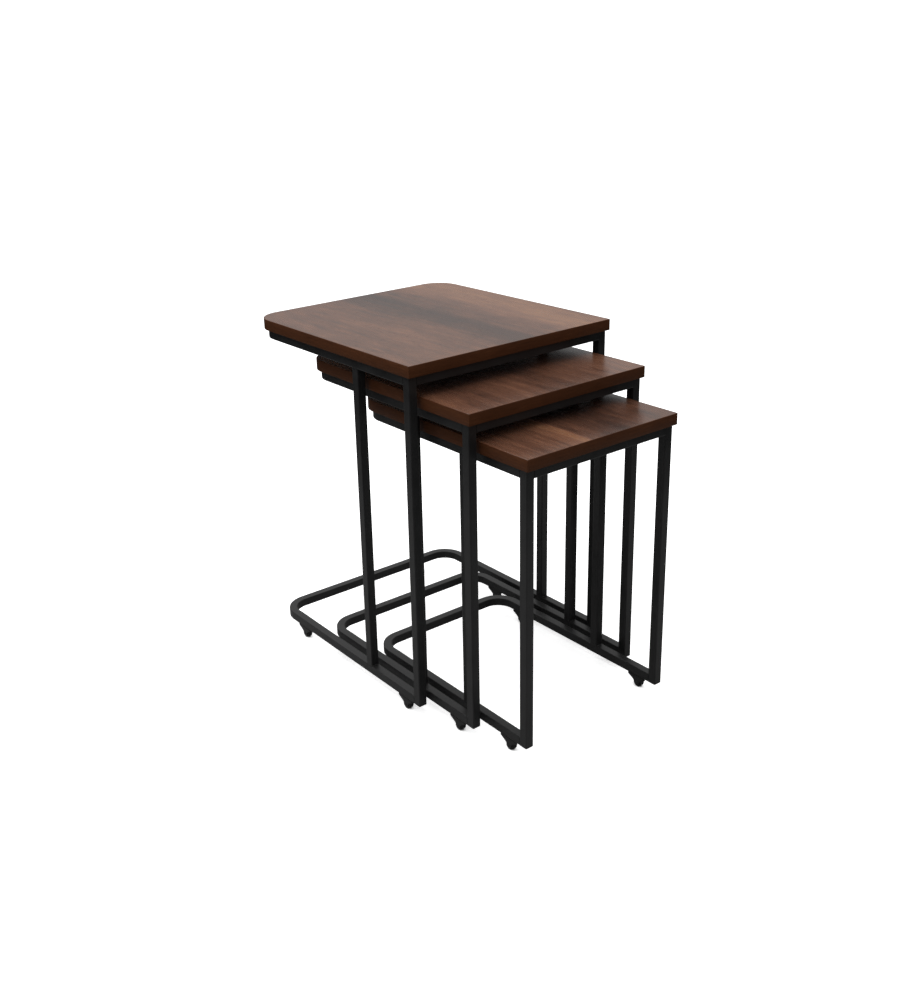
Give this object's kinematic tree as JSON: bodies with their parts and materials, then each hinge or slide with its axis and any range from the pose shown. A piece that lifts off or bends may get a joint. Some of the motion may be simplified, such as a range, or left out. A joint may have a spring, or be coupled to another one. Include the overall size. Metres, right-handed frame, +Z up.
{
  "type": "nesting tables",
  "caption": "Nest of C-shaped side tables: wood-effect boards with rounded back corners on black square-tube frames, each rolling out from under the next on small castors.",
  "frame": {"origin": "on the floor, under the middle of the box round the whole nest as it stands with the smaller tables partly pulled out", "axes": "+Z up; -Y is the front, the way the smaller tables roll out; +X is to the right of a person in front"},
  "size_m": [0.449, 0.6946, 0.644],
  "materials": {
    "wood_top": "satin brown wood-effect laminate with dark grain bands, on board",
    "edge_band": "satin dark red-brown edge strip",
    "frame_steel": "fine satin black powder coat",
    "fork_steel": "satin black paint on folded sheet",
    "plug_plastic": "matte black",
    "wheel_plastic": "matte black moulded"
  },
  "bodies": {
    "large_table": {"large_board": "wood_top", "large_edge_band": "edge_band", "large_upper_frame": "frame_steel", "large_base_frame": "frame_steel", "large_front_rail": "frame_steel", "large_front_post_left": "frame_steel", "large_front_post_right": "frame_steel", "large_rear_post_left": "frame_steel", "large_rear_post_right": "frame_steel", "large_post_plug_left": "plug_plastic", "large_post_plug_right": "plug_plastic", "large_castor_front_left_fork": "fork_steel", "large_castor_front_right_fork": "fork_steel", "large_castor_back_left_fork": "fork_steel", "large_castor_back_right_fork": "fork_steel"},
    "medium_table": {"medium_board": "wood_top", "medium_edge_band": "edge_band", "medium_upper_frame": "frame_steel", "medium_base_frame": "frame_steel", "medium_front_rail": "frame_steel", "medium_front_post_left": "frame_steel", "medium_front_post_right": "frame_steel", "medium_rear_post_left": "frame_steel", "medium_rear_post_right": "frame_steel", "medium_post_plug_left": "plug_plastic", "medium_post_plug_right": "plug_plastic", "medium_castor_front_left_fork": "fork_steel", "medium_castor_front_right_fork": "fork_steel", "medium_castor_back_left_fork": "fork_steel", "medium_castor_back_right_fork": "fork_steel"},
    "small_table": {"small_board": "wood_top", "small_edge_band": "edge_band", "small_upper_frame": "frame_steel", "small_base_frame": "frame_steel", "small_front_rail": "frame_steel", "small_front_post_left": "frame_steel", "small_front_post_right": "frame_steel", "small_rear_post_left": "frame_steel", "small_rear_post_right": "frame_steel", "small_post_plug_left": "plug_plastic", "small_post_plug_right": "plug_plastic", "small_castor_front_left_fork": "fork_steel", "small_castor_front_right_fork": "fork_steel", "small_castor_back_left_fork": "fork_steel", "small_castor_back_right_fork": "fork_steel"},
    "large_castor_front_left_wheel": {"large_castor_front_left_wheel": "wheel_plastic"},
    "large_castor_front_right_wheel": {"large_castor_front_right_wheel": "wheel_plastic"},
    "large_castor_back_left_wheel": {"large_castor_back_left_wheel": "wheel_plastic"},
    "large_castor_back_right_wheel": {"large_castor_back_right_wheel": "wheel_plastic"},
    "medium_castor_front_left_wheel": {"medium_castor_front_left_wheel": "wheel_plastic"},
    "medium_castor_front_right_wheel": {"medium_castor_front_right_wheel": "wheel_plastic"},
    "medium_castor_back_left_wheel": {"medium_castor_back_left_wheel": "wheel_plastic"},
    "medium_castor_back_right_wheel": {"medium_castor_back_right_wheel": "wheel_plastic"},
    "small_castor_front_left_wheel": {"small_castor_front_left_wheel": "wheel_plastic"},
    "small_castor_front_right_wheel": {"small_castor_front_right_wheel": "wheel_plastic"},
    "small_castor_back_left_wheel": {"small_castor_back_left_wheel": "wheel_plastic"},
    "small_castor_back_right_wheel": {"small_castor_back_right_wheel": "wheel_plastic"}
  },
  "joints": [
    {"name": "medium_slide", "type": "slide", "parent": "large_table", "child": "medium_table", "axis": [0, -1, 0], "range_m": [-0.114, 0.4]},
    {"name": "small_slide", "type": "slide", "parent": "medium_table", "child": "small_table", "axis": [0, -1, 0], "range_m": [-0.1005, 0.4]},
    {"name": "large_castor_front_left_spin", "type": "hinge", "parent": "large_table", "child": "large_castor_front_left_wheel", "pos_m": [-0.2123, -0.08725, 0.009], "axis": [1, 0, 0], "continuous": true},
    {"name": "large_castor_front_right_spin", "type": "hinge", "parent": "large_table", "child": "large_castor_front_right_wheel", "pos_m": [0.2123, -0.08725, 0.009], "axis": [1, 0, 0], "continuous": true},
    {"name": "large_castor_back_left_spin", "type": "hinge", "parent": "large_table", "child": "large_castor_back_left_wheel", "pos_m": [-0.2123, 0.24975, 0.009], "axis": [1, 0, 0], "continuous": true},
    {"name": "large_castor_back_right_spin", "type": "hinge", "parent": "large_table", "child": "large_castor_back_right_wheel", "pos_m": [0.2123, 0.24975, 0.009], "axis": [1, 0, 0], "continuous": true},
    {"name": "medium_castor_front_left_spin", "type": "hinge", "parent": "medium_table", "child": "medium_castor_front_left_wheel", "pos_m": [-0.1833, -0.19825, 0.009], "axis": [1, 0, 0], "continuous": true},
    {"name": "medium_castor_front_right_spin", "type": "hinge", "parent": "medium_table", "child": "medium_castor_front_right_wheel", "pos_m": [0.1833, -0.19825, 0.009], "axis": [1, 0, 0], "continuous": true},
    {"name": "medium_castor_back_left_spin", "type": "hinge", "parent": "medium_table", "child": "medium_castor_back_left_wheel", "pos_m": [-0.1833, 0.12725, 0.009], "axis": [1, 0, 0], "continuous": true},
    {"name": "medium_castor_back_right_spin", "type": "hinge", "parent": "medium_table", "child": "medium_castor_back_right_wheel", "pos_m": [0.1833, 0.12725, 0.009], "axis": [1, 0, 0], "continuous": true},
    {"name": "small_castor_front_left_spin", "type": "hinge", "parent": "small_table", "child": "small_castor_front_left_wheel", "pos_m": [-0.1543, -0.29675, 0.009], "axis": [1, 0, 0], "continuous": true},
    {"name": "small_castor_front_right_spin", "type": "hinge", "parent": "small_table", "child": "small_castor_front_right_wheel", "pos_m": [0.1543, -0.29675, 0.009], "axis": [1, 0, 0], "continuous": true},
    {"name": "small_castor_back_left_spin", "type": "hinge", "parent": "small_table", "child": "small_castor_back_left_wheel", "pos_m": [-0.1543, 0.01575, 0.009], "axis": [1, 0, 0], "continuous": true},
    {"name": "small_castor_back_right_spin", "type": "hinge", "parent": "small_table", "child": "small_castor_back_right_wheel", "pos_m": [0.1543, 0.01575, 0.009], "axis": [1, 0, 0], "continuous": true}
  ]
}
